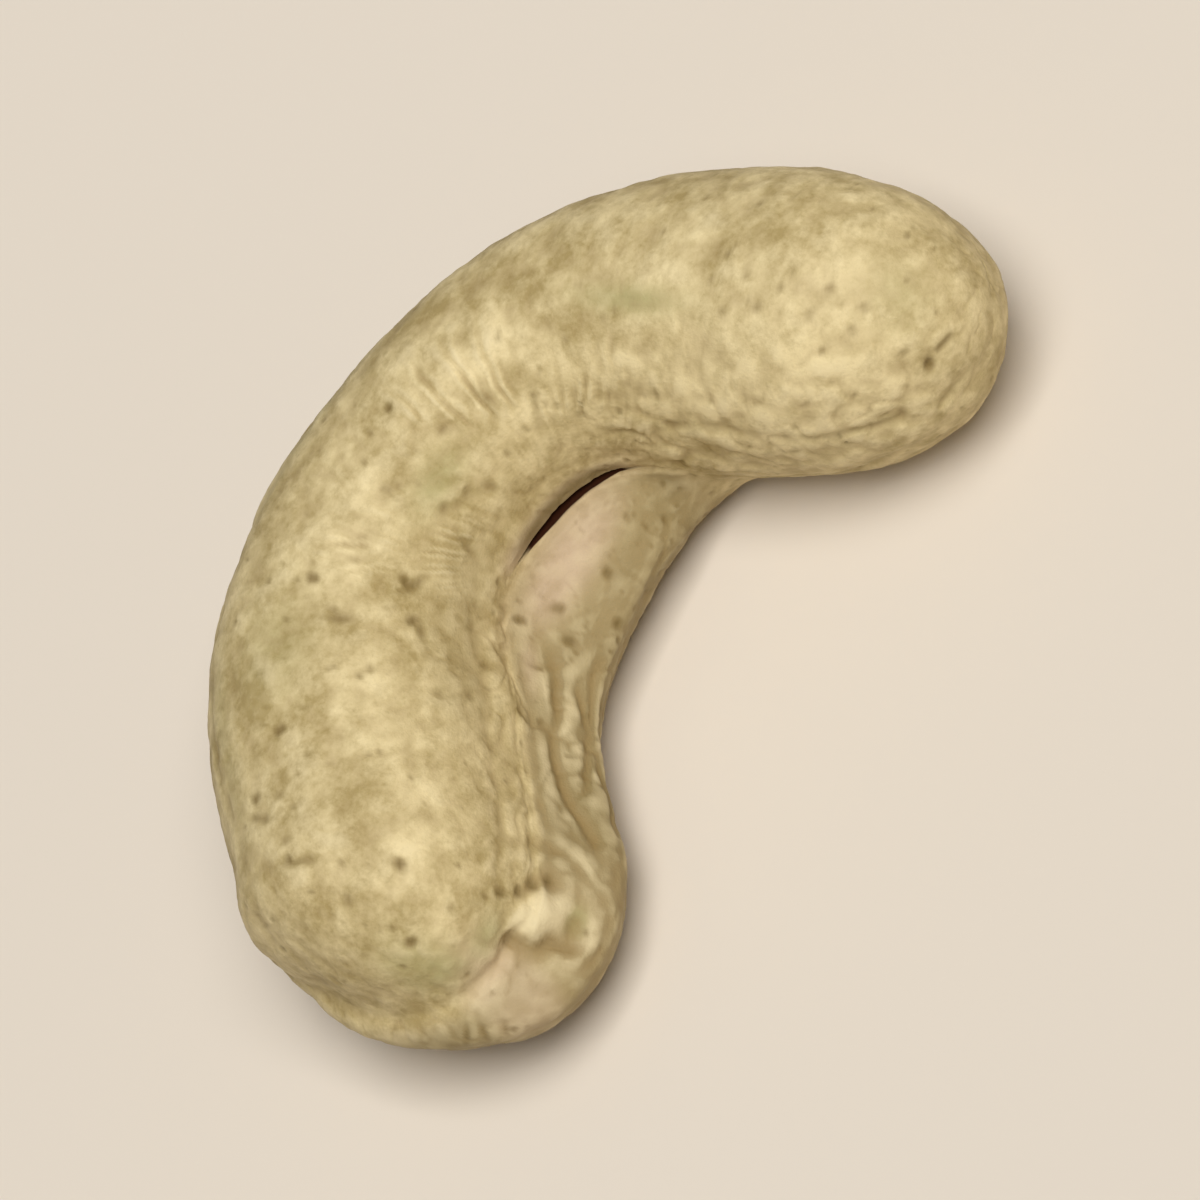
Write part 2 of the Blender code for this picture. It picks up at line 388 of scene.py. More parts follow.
# Brown specks, and painted shade on the lip over the slit and in the groove under the germ's tip.
BROWN_AND_SHADE = (0.150, 0.100, 0.028, 1.0)
# Painted shade inside the slit.
SLIT_SHADE_BLACK = (0.026, 0.006, 0.001, 1.0)

# The floor, a plain square of this many metres.
FLOOR_SIZE = 24.0
FLOOR_COLOUR = (0.76, 0.69, 0.60, 1.0)

# The lights, at a distance in metres. Each row is: name, shares of that distance to the picture's
# right, up and back towards the camera, size in metres, power in watts, and colour.
LIGHTS = (
    ("key", -0.2, 0.25, 1.0, 3.75, 408.0, (1.0, 0.98, 0.95)),
    ("fill", 0.8, 0.1, 0.7, 4.3, 14.7, (1.0, 0.98, 0.96)),
)
LIGHT_DISTANCE = 6.0

# The room's light overhead and at the horizon, and the height of a direction, 0 when level and 1
# straight up, at which the horizon's tone ends and over which it fades.
ROOM = (0.126, 0.122, 0.116, 1.0)
HORIZON = (0.62, 0.55, 0.47, 1.0)
HORIZON_TOP = 0.09
HORIZON_FADE = 0.05

# The camera looks down on the hollow side, tilted this far from straight above the crescent,
# with the picture turned so that the blunt end points up and to the right. The picture is this
# wide at the kernel, and its middle lies this far left of where the spine's measures start.
CAMERA_TILT = math.radians(38.0)
CAMERA_TURN = math.radians(-36.0)
PICTURE_WIDTH = 30.5
PICTURE_SHIFT = 0.3
LENS = 400.0
SENSOR = 36.0


def spine_at(at):
    """Natural cubic curve through the spine's rows, taken at even steps of 0..1."""
    rows = np.array(SPINE_ROWS)
    last = len(rows) - 1
    step = 1.0 / last
    matrix = np.eye(last + 1)
    right = np.zeros(rows.shape)
    for i in range(1, last):
        matrix[i, i - 1:i + 2] = (1.0, 4.0, 1.0)
        right[i] = 6.0 * (rows[i + 1] - 2.0 * rows[i] + rows[i - 1]) / step**2
    bend = np.linalg.solve(matrix, right)
    left = np.clip((at / step).astype(int), 0, last - 1)
    b = (at / step - left)[:, None]
    a = 1.0 - b
    straight = a * rows[left] + b * rows[left + 1]
    return straight + step**2 / 6.0 * ((a**3 - a) * bend[left] + (b**3 - b) * bend[left + 1])


def ease(x):
    """0 below 0, 1 above 1, and a smooth step between."""
    x = np.clip(x, 0.0, 1.0)
    return x * x * (3.0 - 2.0 * x)


def bell(x):
    """1 at 0, falling smoothly to 0 on both sides over about 2."""
    return np.exp(-x * x)


def ramp(x, start, soft):
    """0 up to start, growing smoothly to 1 over a width of soft."""
    return ease((x - start) / soft)


def window(x, low, high, soft):
    """1 between low and high, with a smooth fade of width soft inside each end."""
    return ease((x - low) / soft) * ease((high - x) / soft)


def cap_scale(place):
    """Size of the cross-section along the spine: 1, closing to 0 at each end like an ellipsoid."""
    blunt = np.clip(1.0 - place / BLUNT_CAP, 0.0, 1.0)
    germ = np.clip(1.0 - (1.0 - place) / GERM_CAP, 0.0, 1.0)
    return np.sqrt(np.clip(1.0 - blunt**2, 0.0, 1.0) * np.clip(1.0 - germ**2, 0.0, 1.0))


def kernel_form(place, angle, seam_cut=0.0):
    """The kernel's plain form for every place 0..1 on the spine and its row of angles in degrees.

    Each cross-section is a superellipse whose height differs above and below the spine's plane.
    Past the line between the halves the lower half is moved outwards into the hollow, by an
    eased rise and fall of the angle. The sections close at both ends by the cap scale, and the
    upper half is drawn back a little along the spine at the germ end. seam_cut is how deep each
    point is drawn in along its section's own radius.
    """
    x, y, half_width, top, bottom, overhang, drop = spine_at(place).T[:, :, None]
    nudge = 1e-4
    ahead = spine_at(np.minimum(place + nudge, 1.0))
    behind = spine_at(np.maximum(place - nudge, 0.0))
    along = (ahead - behind)[:, :2]
    along /= np.linalg.norm(along, axis=1)[:, None]
    scale = cap_scale(place)[:, None]
    place = place[:, None]

    inner = (1.0 - np.cos(np.radians(angle))) / 2.0
    turn = np.radians(angle + drop * inner)
    height = np.where(np.sin(turn) > 0.0, top, bottom)
    radius = ((np.abs(np.cos(turn)) / half_width)**SECTION_POWER
              + (np.abs(np.sin(turn)) / height)**SECTION_POWER)**(-1.0 / SECTION_POWER)
    below = angle - 180.0
    shelf = ease(below / SHELF_RISE) * (1.0 - ease((below - SHELF_FALL_START) / SHELF_FALL))
    across = radius * np.cos(turn) - overhang * shelf
    up = radius * np.sin(turn)
    size = (1.0 - scale * seam_cut / np.hypot(across, up)) * scale
    across = across * size
    up = up * size

    seam_up = radius * np.sin(np.radians(180.0 + drop)) * scale * inner
    short = SHORTFALL * ease((place - SHORTFALL_START) / (1.0 - SHORTFALL_START))
    short = short * ease((up - seam_up) / STEP_HEIGHT + STEP_MIDDLE)
    return np.stack([
        x + across * along[:, 1:] - short * along[:, :1],
        y - across * along[:, :1] - short * along[:, 1:],
        up,
    ], axis=-1)


def ring_places():
    """Places of the rings: even steps of length along the kernel's top, from end to end."""
    fine = 0.5 - 0.5 * np.cos(np.pi * np.linspace(0.0, 1.0, 4000))
    top = kernel_form(fine, np.full((len(fine), 1), 90.0))[:, 0]
    steps = np.linalg.norm(np.diff(top, axis=0), axis=1)
    travelled = np.concatenate([[0.0], np.cumsum(steps)])
    return np.interp(np.linspace(0.0, travelled[-1], RINGS + 2), travelled, fine)


def slit_width(place):
    """Share of the slit's full opening: 1 in its middle, less at its ends, and 1 far from it."""
    far = ease((np.abs(place - SLIT_PLACE) - SLIT_FAR) / SLIT_FAR_BLEND)
    return np.maximum(SLIT_ENDS + (1.0 - SLIT_ENDS) * slit_taper(place), far)


def slit_taper(place):
    """1 along the slit, falling to 0 past its ends."""
    return np.exp(-((place - SLIT_PLACE) / SLIT_REACH)**4)


def ring_angles(place):
    """Angles around each ring: the running sum of a crowding that peaks at the two lines,
    inverted, drawn together where the slit narrows, and then pulled over so that the same
    column follows the line in the hollow."""
    fine = np.linspace(-180.0, 180.0, 7201)
    crowding = np.ones(fine.shape)
    for angle, half_width, closer in CROWDING:
        crowding = crowding + closer * bell((np.abs(fine) - angle) / half_width)
    travelled = np.concatenate([[0.0], np.cumsum(crowding[1:])])
    even = np.linspace(0.0, travelled[-1], AROUND, endpoint=False)
    around = np.sort(np.interp(even, travelled, fine) % 360.0)
    away = around - 180.0
    pull = bell(away / SEAM_PULL)
    width = slit_width(place)[:, None]
    narrowed = away * (width + (1.0 - width) * ease(np.abs(away) / SLIT_PULL))
    return 180.0 + narrowed + (curve(place, SEAM_LINE) - 180.0)[:, None] * pull


def curve(x, points):
    """A line through pairs of x and value, with its corners rounded by averaging nearby values."""
    places, values = np.array(points, float).T
    shifts = CORNER_ROUNDING * np.array((-1.0, -0.5, 0.0, 0.5, 1.0))
    return sum(np.interp(x + shift, places, values) for shift in shifts) / len(shifts)


class Noise:
    """Smooth random values in space: a seeded block of numbers, eased between its corners. The
    same points moved by a number of millimetres give values that have nothing to do with them."""

    def __init__(self, seed, side=32):
        rng = np.random.default_rng(seed)
        self.values = rng.uniform(-1.0, 1.0, (side, side, side))
        self.turn = np.linalg.qr(rng.normal(size=(3, 3)))[0]
        self.side = side

    def at(self, points, size):
        """Values -1..1 at points, for lumps about size across."""
        scaled = points @ self.turn / size
        low = np.floor(scaled).astype(int)
        part = scaled - low
        part = part**3 * (part * (part * 6.0 - 15.0) + 10.0)
        total = np.zeros(points.shape[:-1])
        for corner in range(8):
            offset = np.array([corner & 1, corner >> 1 & 1, corner >> 2 & 1])
            share = np.prod(np.where(offset, part, 1.0 - part), axis=-1)
            cell = (low + offset) % self.side
            total += share * self.values[cell[..., 0], cell[..., 1], cell[..., 2]]
        return total

    def waves(self, points, rows):
        """The sum of values of several sizes. Each row is: how high, and how far apart."""
        return sum(height * self.at(points, size) for height, size in rows)

    def patches(self, points, share, height, size):
        """0..1 in smooth patches: values with a height about a share, eased."""
        return ease(share + height * self.at(points, size))

    def layered(self, points, size, layers):
        """Lumps with smaller ones on them, each layer half the size and half the height."""
        total = 0.0
        for layer in range(layers):
            turned = points @ np.linalg.matrix_power(self.turn, layer)
            total = total + self.at(turned + 7.3 * layer, size / 2.0**layer) / 2.0**layer
        return total

    def creases(self, points, size, width):
        """1 on winding lines about size apart, where the layered lumps pass through 0."""
        return bell(self.layered(points, size, 2) / width)


class Kernel:
    """The kernel's surface as a grid, with the measures that its marks are placed by."""

    def __init__(self):
        self.ring_place = ring_places()
        self.angles = ring_angles(self.ring_place)
        self.places = self.ring_place[:, None] + 0.0 * self.angles
        self.plain = kernel_form(self.ring_place, self.angles)
        step = np.roll(self.plain, -1, axis=1) - np.roll(self.plain, 1, axis=1)
        degrees = (np.roll(self.angles, -1, axis=1) - np.roll(self.angles, 1, axis=1)) % 360.0
        self.per_degree = np.maximum(np.linalg.norm(step, axis=-1) / degrees, LEAST_PER_DEGREE)
        self.height = np.zeros(self.places.shape)
        self.marks = {name: np.zeros(self.places.shape)
                      for name in ("dark", "pink", "olive", "cream", "pale", "slit")}

    def across(self, angle):
        """Millimetres around the section from an angle, the shorter way."""
        return ((self.angles - angle + 180.0) % 360.0 - 180.0) * self.per_degree

    def local(self, place, angle, rings=slice(None)):
        """Millimetres along the spine, around it and outwards, from a point on the surface."""
        nudge = 1e-3
        places = np.array([place - nudge, place, place + nudge])
        patch = kernel_form(places, np.tile((angle - 1.0, angle, angle + 1.0), (3, 1)))
        along = patch[2, 1] - patch[0, 1]
        around = patch[1, 2] - patch[1, 0]
        along /= np.linalg.norm(along)
        around -= along * (around @ along)
        around /= np.linalg.norm(around)
        offset = self.plain[rings] - patch[1, 1]
        return offset @ along, offset @ around, offset @ np.cross(along, around)

    def spot(self, place, angle, length, width, turn=0.0, power=1.0):
        """The rings near a spot, and a bell-shaped spot on them, length by width, turned from
        the spine's way by turn degrees."""
        middle = np.searchsorted(self.ring_place, place)
        reach = int(4.0 * max(length, width) / RING_GAP)
        rings = slice(max(0, middle - reach), middle + reach)
        u, v, w = self.local(place, angle, rings)
        c, s = math.cos(math.radians(turn)), math.sin(math.radians(turn))
        far = ((c * u + s * v) / length)**2 + ((c * v - s * u) / width)**2 + (w / length)**2
        return rings, np.exp(-far**power)

    def mark(self, name, values, rings=slice(None)):
        """One of the marks that the material reads, made no weaker than the values."""
        self.marks[name][rings] = np.maximum(self.marks[name][rings], values)

    def stains(self, name, rows):
        """Spots of a mark. Each row is: place, angle, half the length, half the width, strength,
        and how flat the spot is in its middle."""
        for place, angle, length, width, strength, power in rows:
            rings, spot = self.spot(place, angle, length, width, power=power)
            self.mark(name, strength * spot, rings)

    def line(self, depth, half_width, points, fade=LINE_FADE):
        """A line along the spine through points, as a bell of the distance across it."""
        run = window(self.places, points[0][0] - fade, points[-1][0] + fade, 1.5 * fade)
        return depth * run * bell(self.across(curve(self.places, points)) / half_width)


def outward(points):
    """Unit normals of a closed grid: the cross product of its two directions, facing out."""
    along = np.gradient(points, axis=0)
    around = (np.roll(points, -1, axis=1) - np.roll(points, 1, axis=1)) / 2.0
    normal = np.cross(along, around)
    length = np.linalg.norm(normal, axis=-1, keepdims=True)
    normal = normal / np.maximum(length, 1e-9)
    normal[0] = normal[1].mean(axis=0)
    normal[-1] = normal[-2].mean(axis=0)
    for end in (0, -1):
        normal[end] /= np.linalg.norm(normal[end], axis=-1, keepdims=True)
    return normal


def cut_seams(k, noise):
    """The line between the halves: a narrow bell of the distance from it, with a smooth step
    across it around the germ end and a groove around the tip, which are a hyperbolic tangent and
    a bell of the rise above the line. At the bend the line is a steep-sided slit whose width and
    depth fade to both ends, and the slit's depth is returned."""
    k.seam = (k.angles - curve(k.places, SEAM_LINE)) * k.per_degree
    taper = slit_taper(k.places)
    wavy = k.seam + noise.waves(k.plain, SEAM_WAVES)
    seam = curve(k.places, SEAM_DEPTHS) * bell(wavy / curve(k.places, SEAM_WIDTHS)) * (1.0 - taper)
    wavy = k.across(0.0) + noise.waves(k.plain, BACK_SEAM_WAVES)
    uneven = BACK_SEAM_SHARE + noise.waves(k.plain + 80.0, BACK_SEAM_UNEVEN)
    seam = seam + curve(k.places, BACK_SEAM_DEPTHS) * uneven * bell(wavy / BACK_SEAM_WIDTH)

    up = k.plain[..., 2]
    line = np.take_along_axis(up, np.abs(k.seam).argmin(axis=1)[:, None], axis=1)
    k.rise = up - line * (1.0 - np.cos(np.radians(k.angles))) / 2.0
    wavy = k.rise + noise.waves(k.plain, TIP_WAVES)
    tip = ease((k.places - TIP_START) / TIP_BLEND)
    depth, middle, half_width = TIP_GROOVE
    k.height -= (1.0 - tip) * seam + tip * depth * bell((wavy - middle) / half_width)
    end = ease((k.places - STEP_START) / STEP_BLEND) * bell(wavy / STEP_REACH)
    k.height -= end * STEP_OUT * np.tanh((wavy - STEP_RISE) / STEP_SOFTNESS)

    opening = k.seam / k.per_degree / (SLIT_OPENING * slit_width(k.places))
    fade = ease(taper * SLIT_FADE)
    # The slit's inside is marked for painted shade, coloured black.
    k.marks["slit"] = fade * window(opening, *SLIT_SHADE_RUN)
    return SLIT_DEPTH * fade * np.exp(-(opening - 1.0)**8)


def curl_lip(k):
    """The upper half's edge stands out over the line: an eased rise towards it from above, and
    a fall below it in two eased parts, as high as the lip's own curve along the spine."""
    degrees = k.seam / k.per_degree
    above = ease(1.0 + degrees / LIP_SPAN) * (degrees <= 0.0)
    below = sum(share * ease(1.0 - degrees / span) for share, span in LIP_FALLS)
    k.height += curve(k.places, LIP) * (above + below * (degrees > 0.0))
    middle, half_width = LIP_PINK
    pink = bell((degrees + middle) / half_width) * window(k.places, *LIP_PINK_RUN)
    k.mark("pink", pink * (degrees <= 0.0))


def press_pits(k, rng):
    """Small hollows where specks of the skin sat: the ones that show, and a seeded scatter.
    Each is a bell of the distance from its middle, stretched and turned at random."""
    pits = [(*at, *DEEP_PIT) for at in DEEP_PITS] + [(*at, *SHALLOW_PIT) for at in SHALLOW_PITS]
    for _ in range(SCATTERED_PITS):
        strength = rng.uniform(0.1, 1.0)**4
        at = (rng.uniform(*PIT_PLACES), rng.uniform(0.0, 360.0))
        size = [low + (high - low) * strength for low, high in zip(FAINT_PIT, STRONG_PIT)]
        pits.append((*at, *size))
    for place, angle, radius, depth, darkness in pits:
        stretch = rng.uniform(*PIT_STRETCHES)
        turn = rng.uniform(-90.0, 90.0)
        length, width = radius * stretch, radius / stretch**0.5
        rings, spot = k.spot(place, angle, length, width, turn, PIT_FLATNESS)
        k.height[rings] -= depth * spot
        k.mark("dark", darkness * spot, rings)


def press_lines(k, noise):
    """Creases along the spine, each a bell of the distance from its line, broken into dashes and
    waved sideways by smooth random values. A smear is a longer bell-shaped hollow."""
    wave = noise.waves(k.plain, LINE_WAVES) / k.per_degree
    dashes = noise.patches(k.plain + 40.0, *DASHES)
    k.angles = k.angles + wave
    for line in (RIM_LINE, CHEEK_LINE, OUTER_LINE):
        depth = k.line(*line) * dashes
        k.height -= depth
        k.mark("olive", LINE_OLIVE * depth)
    for line in EDGE_LINES + HOLLOW_LINES:
        k.height -= k.line(*line, fade=FOLD_FADE) * (1.0 - FOLD_BREAKS * (1.0 - dashes))
    k.angles = k.angles - wave
    comma = k.line(*COMMA_LINE, fade=COMMA_FADE)
    k.height -= comma
    k.mark("dark", COMMA_DARK * comma)
    for place, angle, length, width, turn, depth in SMEARS:
        rings, smear = k.spot(place, angle, length, width, turn)
        k.height[rings] -= depth * smear
        k.mark("dark", SMEAR_DARK * depth * smear, rings)


def crumple(k, noise):
    """Unevenness of the whole surface: lumps of falling size, winding creases between them, and
    streaks that are long along the spine and short across it. It is stronger at the blunt end's
    inner side and on the lower half's hollow side."""
    height, size, layers = BROAD_LUMPS
    broad_lumps = height * noise.layered(k.plain, size, layers)
    height, size, layers = LUMPS
    k.height += broad_lumps + height * noise.layered(k.plain + 9.0, size, layers)
    for place, angle, length, width, height in GERM_END_SPOTS:
        rings, spot = k.spot(place, angle, length, width)
        k.height[rings] += height * spot

    strong = CRUMPLE_SHARE
    for share, places, angles in CRUMPLED_RUNS:
        strong = strong + share * window(k.places, *places) * window(k.angles, *angles)
    patchy = noise.patches(k.plain + 31.0, *CREASE_PATCHES)
    depth, size, half_width = WIDE_CREASES
    k.height -= depth * strong * patchy * noise.creases(k.plain + 3.0, size, half_width)
    depth, size, half_width = FINE_CREASES
    k.height -= depth * (0.5 + strong) * noise.creases(k.plain + 50.0, size, half_width)
    height, size, layers = SMALL_LUMPS
    k.height += height * strong * noise.layered(k.plain + 70.0, size, layers)

    along = k.places * SPINE_LENGTH / STREAK_LENGTH
    streaks = np.stack([along, k.across(90.0) / STREAK_WIDTH, 0.0 * k.places], axis=-1)
    k.height += STREAK_HEIGHT * noise.at(streaks @ noise.turn.T, 1.0)


def fan_wrinkles(k, noise):
    """Fine wrinkles across the upper half, fanning out from the inner bend: sines of the place,
    drawn together towards the bend, shifted by smooth random values and faded by two windows.
    Past them lie fainter and closer sines, side by side."""
    closer = np.clip(1.0 - FAN_CLOSING * (k.angles - 90.0), *FAN_CLOSENESS)
    fanned = (k.places - FAN_MIDDLE) / closer * TOP_LENGTH
    shifted = fanned + noise.waves(k.plain, FAN_WAVES)
    sines = sum(share * np.sin(2.0 * np.pi * shifted / step) for share, step in FAN_STEPS)
    broken = noise.patches(k.plain + 17.0, *FAN_PATCHES)
    places, angles = FAN_RUNS
    k.height += FAN_HEIGHT * sines * broken * window(k.places, *places) * window(k.angles, *angles)

    shifted = k.places * TOP_LENGTH + noise.waves(k.plain, ARC_WAVES)
    arcs = np.sin(2.0 * np.pi * shifted / ARC_STEP)
    places, angles = ARC_RUNS
    k.height += ARC_HEIGHT * arcs * window(k.places, *places) * window(k.angles, *angles)


def shape_germ(k, noise):
    """The germ's tip beside the line and the folds around it.

    The tip is blocks: each one's height is flat up to an edge and falls steeply past it, by the
    larger of the two distances from its middle over its half sizes, with the edges rounded by
    averaging. Around it lie arc-shaped ridges, which are bells of the distance from their radii,
    on the side away from the line, and a groove beneath, a bell of the distance from its curve.
    """
    u, v, w = k.local(GERM_PLACE, GERM_ANGLE)
    near = bell(w / GERM_REACH) * (k.places > GERM_START)
    wavy = np.hypot(u, v) + noise.waves(k.plain, FOLD_WAVES)
    way = np.degrees(np.arctan2(u, v))
    radius, depth, half_width = GERM_RING
    k.height -= depth * near * bell((wavy - radius) / half_width)
    down, right, half_down, half_right, depth = GERM_DENT
    k.height -= depth * near * bell((u - down) / half_down) * bell((v - right) / half_right)

    tip = 0.0 * u
    for right, down, half_right, half_down, turn, height in GERM_BLOCKS:
        c, s = math.cos(math.radians(turn)), math.sin(math.radians(turn))
        a = (c * (v - right) + s * (u - down)) / half_right
        b = (c * (u - down) - s * (v - right)) / half_down
        side = np.maximum(np.abs(a + BLOCK_SLANT * b), np.abs(b))
        top = 1.0 + BLOCK_SLOPE * a - BLOCK_SLOPE * b
        tip = np.maximum(tip, height * np.clip(BLOCK_STEEPNESS * (1.0 - side), 0.0, top))
    tip = blurred(tip * near, EDGE_STEPS)
    k.height += tip

    share, change, size = FOLD_UNEVEN
    uneven = share + change * noise.at(k.plain + 5.0, size)
    folds = window(way, *FOLD_RUN) * near * uneven
    for radius, height, half_width in GERM_FOLDS:
        k.height += height * folds * bell((wavy - radius) / half_width)

    place, angle = BENEATH_FROM
    drop = (curve(k.angles, BENEATH_LINE) - place) * GERM_END_LENGTH
    below = k.local(place, angle)[0] - drop + noise.waves(k.plain, BENEATH_WAVES)
    broken = noise.patches(k.plain + 60.0, *BENEATH_PATCHES)
    groove = bell(below / BENEATH_WIDTH) * window(k.angles, *BENEATH_RUN) * near * broken
    k.height -= BENEATH_DEPTH * groove
    # Painted shade in the groove under the germ's tip.
    k.mark("dark", BENEATH_SHADE * groove)
    k.mark("pale", ease(tip / PALE_HEIGHT))


def tint(k):
    """Where the kernel is pinker, greener, paler or tawnier: broad spots on both halves, and the
    lower half's hollow side, which is found by how far it lies below the line, how far it faces
    into the hollow and how far it is from the underside, each eased from 0 to 1. The tawny tone
    there is partly painted shade, and painted shade lies on the upper half's edge and on the lip
    over the slit."""
    k.stains("pink", PINK_STAINS)
    inward = -np.cos(np.radians(k.angles)) * cap_scale(k.places)
    lower = ramp(-k.rise, *TAWNY_DROP) * ramp(inward, *TAWNY_FACING)
    lower = lower * ramp(k.plain[..., 2], *TAWNY_BOTTOM)
    lower = lower * window(k.places, *TAWNY_PLACES) * (1.0 - TAWNY_LOSS_AT_PINK * k.marks["pink"])
    k.mark("pink", TAWNY_PINK * lower)
    rings, germ = k.spot(*TAWNY_GAP)
    lower[rings] *= 1.0 - TAWNY_GAP_LOSS * germ
    # Painted shade on the upper half's edge by the line.
    places, angles = EDGE_SHADE_RUNS
    edge_shade = window(k.places, *places) * window(k.angles, *angles)
    # Painted shade on the lip over the slit, painted darker up to a distance from the line.
    middle, half_width = LIP_SHADE_BAND
    lip_shade = window(k.places, *LIP_SHADE_PLACES) * bell((k.seam - middle) / half_width)
    k.marks["lower"] = np.maximum(np.maximum(lower, EDGE_SHADE * edge_shade), lip_shade)
    k.mark("dark", LIP_SHADE * lip_shade * (k.seam < LIP_SHADE_END))
    k.stains("cream", CREAM_STAINS)
    k.stains("olive", OLIVE_STAINS)


def blurred(values, steps):
    """Repeated averages with the grid's neighbours, wrapped round the section."""
    for _ in range(steps):
        values = (np.roll(values, 1, axis=1) + values + np.roll(values, -1, axis=1)) / 3.0
        padded = np.concatenate([values[:1], values, values[-1:]])
        values = (padded[:-2] + padded[1:-1] + padded[2:]) / 3.0
    return values


def kernel_points(k):
    """Every mark pressed into the plain form along its normals, and a flat spot where the kernel
    rests. The cavity mark is how far a point lies below the average of those around it; the
    material paints shade where it is above 0 and a highlight where it is below 0."""
    noise = Noise(NOISE_SEED)
    rng = np.random.default_rng(PIT_SEED)
    seam_cut = cut_seams(k, noise)
    crumple(k, noise)
    fan_wrinkles(k, noise)
    press_lines(k, noise)
    press_pits(k, rng)
    shape_germ(k, noise)
    # Painted shade in the hollows and a painted highlight on the crests follow this mark.
    above = blurred(k.height, CAVITY_STEPS) - k.height
    k.marks["cavity"] = np.clip(above / CAVITY_DEPTH, -1.0, 1.0)
    curl_lip(k)
    tint(k)
    base = kernel_form(k.ring_place, k.angles, seam_cut)
    points = base + k.height[..., None] * outward(k.plain)
    points[0] = points[0].mean(axis=0)
    points[-1] = points[-1].mean(axis=0)
    points[..., 2] = np.maximum(points[..., 2], -REST_DEPTH)
    points += np.array([-MIDDLE[0], -MIDDLE[1], REST_DEPTH])
    return points


def grid_mesh(name, points, marks):
    """A closed mesh of quads from a grid of rings whose two end rings are single points."""
    rings, count = points.shape[:2]
    inner = points[1:-1].reshape(-1, 3)
    vertices = np.concatenate([points[:1, 0], inner, points[-1:, 0]]) * MM
    start = 1 + np.arange(rings - 2)[:, None] * count
    here = start + np.arange(count)[None, :]
    beside = start + np.roll(np.arange(count), -1)[None, :]
    quads = np.stack([here[:-1], here[1:], beside[1:], beside[:-1]], axis=-1).reshape(-1, 4)
    last = len(vertices) - 1
    fans = [(0, here[0, j], beside[0, j]) for j in range(count)]
    fans += [(last, beside[-1, j], here[-1, j]) for j in range(count)]
    mesh = bpy.data.meshes.new(name)
    faces = quads.tolist() + [tuple(map(int, fan)) for fan in fans]
    mesh.from_pydata(vertices.tolist(), [], faces)
    for mark, values in marks.items():
        column = np.concatenate([values[:1, 0], values[1:-1].reshape(-1), values[-1:, 0]])
        layer = mesh.attributes.new(mark, "FLOAT", "POINT")
        layer.data.foreach_set("value", column.astype(np.float32))
    mesh.shade_smooth()
    return mesh


class Socket:
    """A value in a material's nodes. Arithmetic on it adds Math nodes."""

    def __init__(self, tree, socket):
        self.tree = tree
        self.socket = socket

    def math(self, operation, *values, clamp=False):
        """One Math node with these values or links."""
        return add_node(self.tree, "ShaderNodeMath", {"operation": operation, "use_clamp": clamp},
                        dict(enumerate(values)))

    def __add__(self, other):
        return self.math("ADD", self, other)

    def __sub__(self, other):
        return self.math("SUBTRACT", self, other)

    def __mul__(self, other):
        return self.math("MULTIPLY", self, other)

    def __rsub__(self, other):
        return self.math("SUBTRACT", other, self)

    __radd__ = __add__
    __rmul__ = __mul__

    def clamped(self):
        """Kept between 0 and 1."""
        return self.math("ADD", self, 0.0, clamp=True)


def add_node(tree, kind, settings=None, inputs=None, output=0):
    """Any node: its type, its settings, set first, and values or links for its sockets."""
    node = tree.nodes.new(kind)
    for name, value in (settings or {}).items():
        setattr(node, name, value)
    for key, value in (inputs or {}).items():
        if isinstance(value, Socket):
            tree.links.new(value.socket, node.inputs[key])
        else:
            node.inputs[key].default_value = value
    return Socket(tree, node.outputs[output]) if node.outputs else None


def blend_colour(tree, share, first, second):
    """Second colour over the first by share 0..1."""
    return add_node(tree, "ShaderNodeMix", {"data_type": "RGBA"},
                    {0: share, 6: first, 7: second}, output=2)


def noise_at(tree, position, size, detail=2.0, roughness=0.5):
    """Noise 0..1 with lumps about size millimetres across."""
    return add_node(tree, "ShaderNodeTexNoise", {}, {
        "Vector": position, "Scale": 1.0 / (size * MM), "Detail": detail,
        "Roughness": roughness})


def new_material(name):
    """An empty material, and its nodes."""
    material = bpy.data.materials.new(name)
    material.use_nodes = True
    material.node_tree.nodes.clear()
    return material, material.node_tree


def finish_material(tree, inputs):
    """The Principled shader, with constants set on its own sockets, wired to the output."""
    shader = add_node(tree, "ShaderNodeBsdfPrincipled", {}, inputs)
    add_node(tree, "ShaderNodeOutputMaterial", {}, {"Surface": shader})


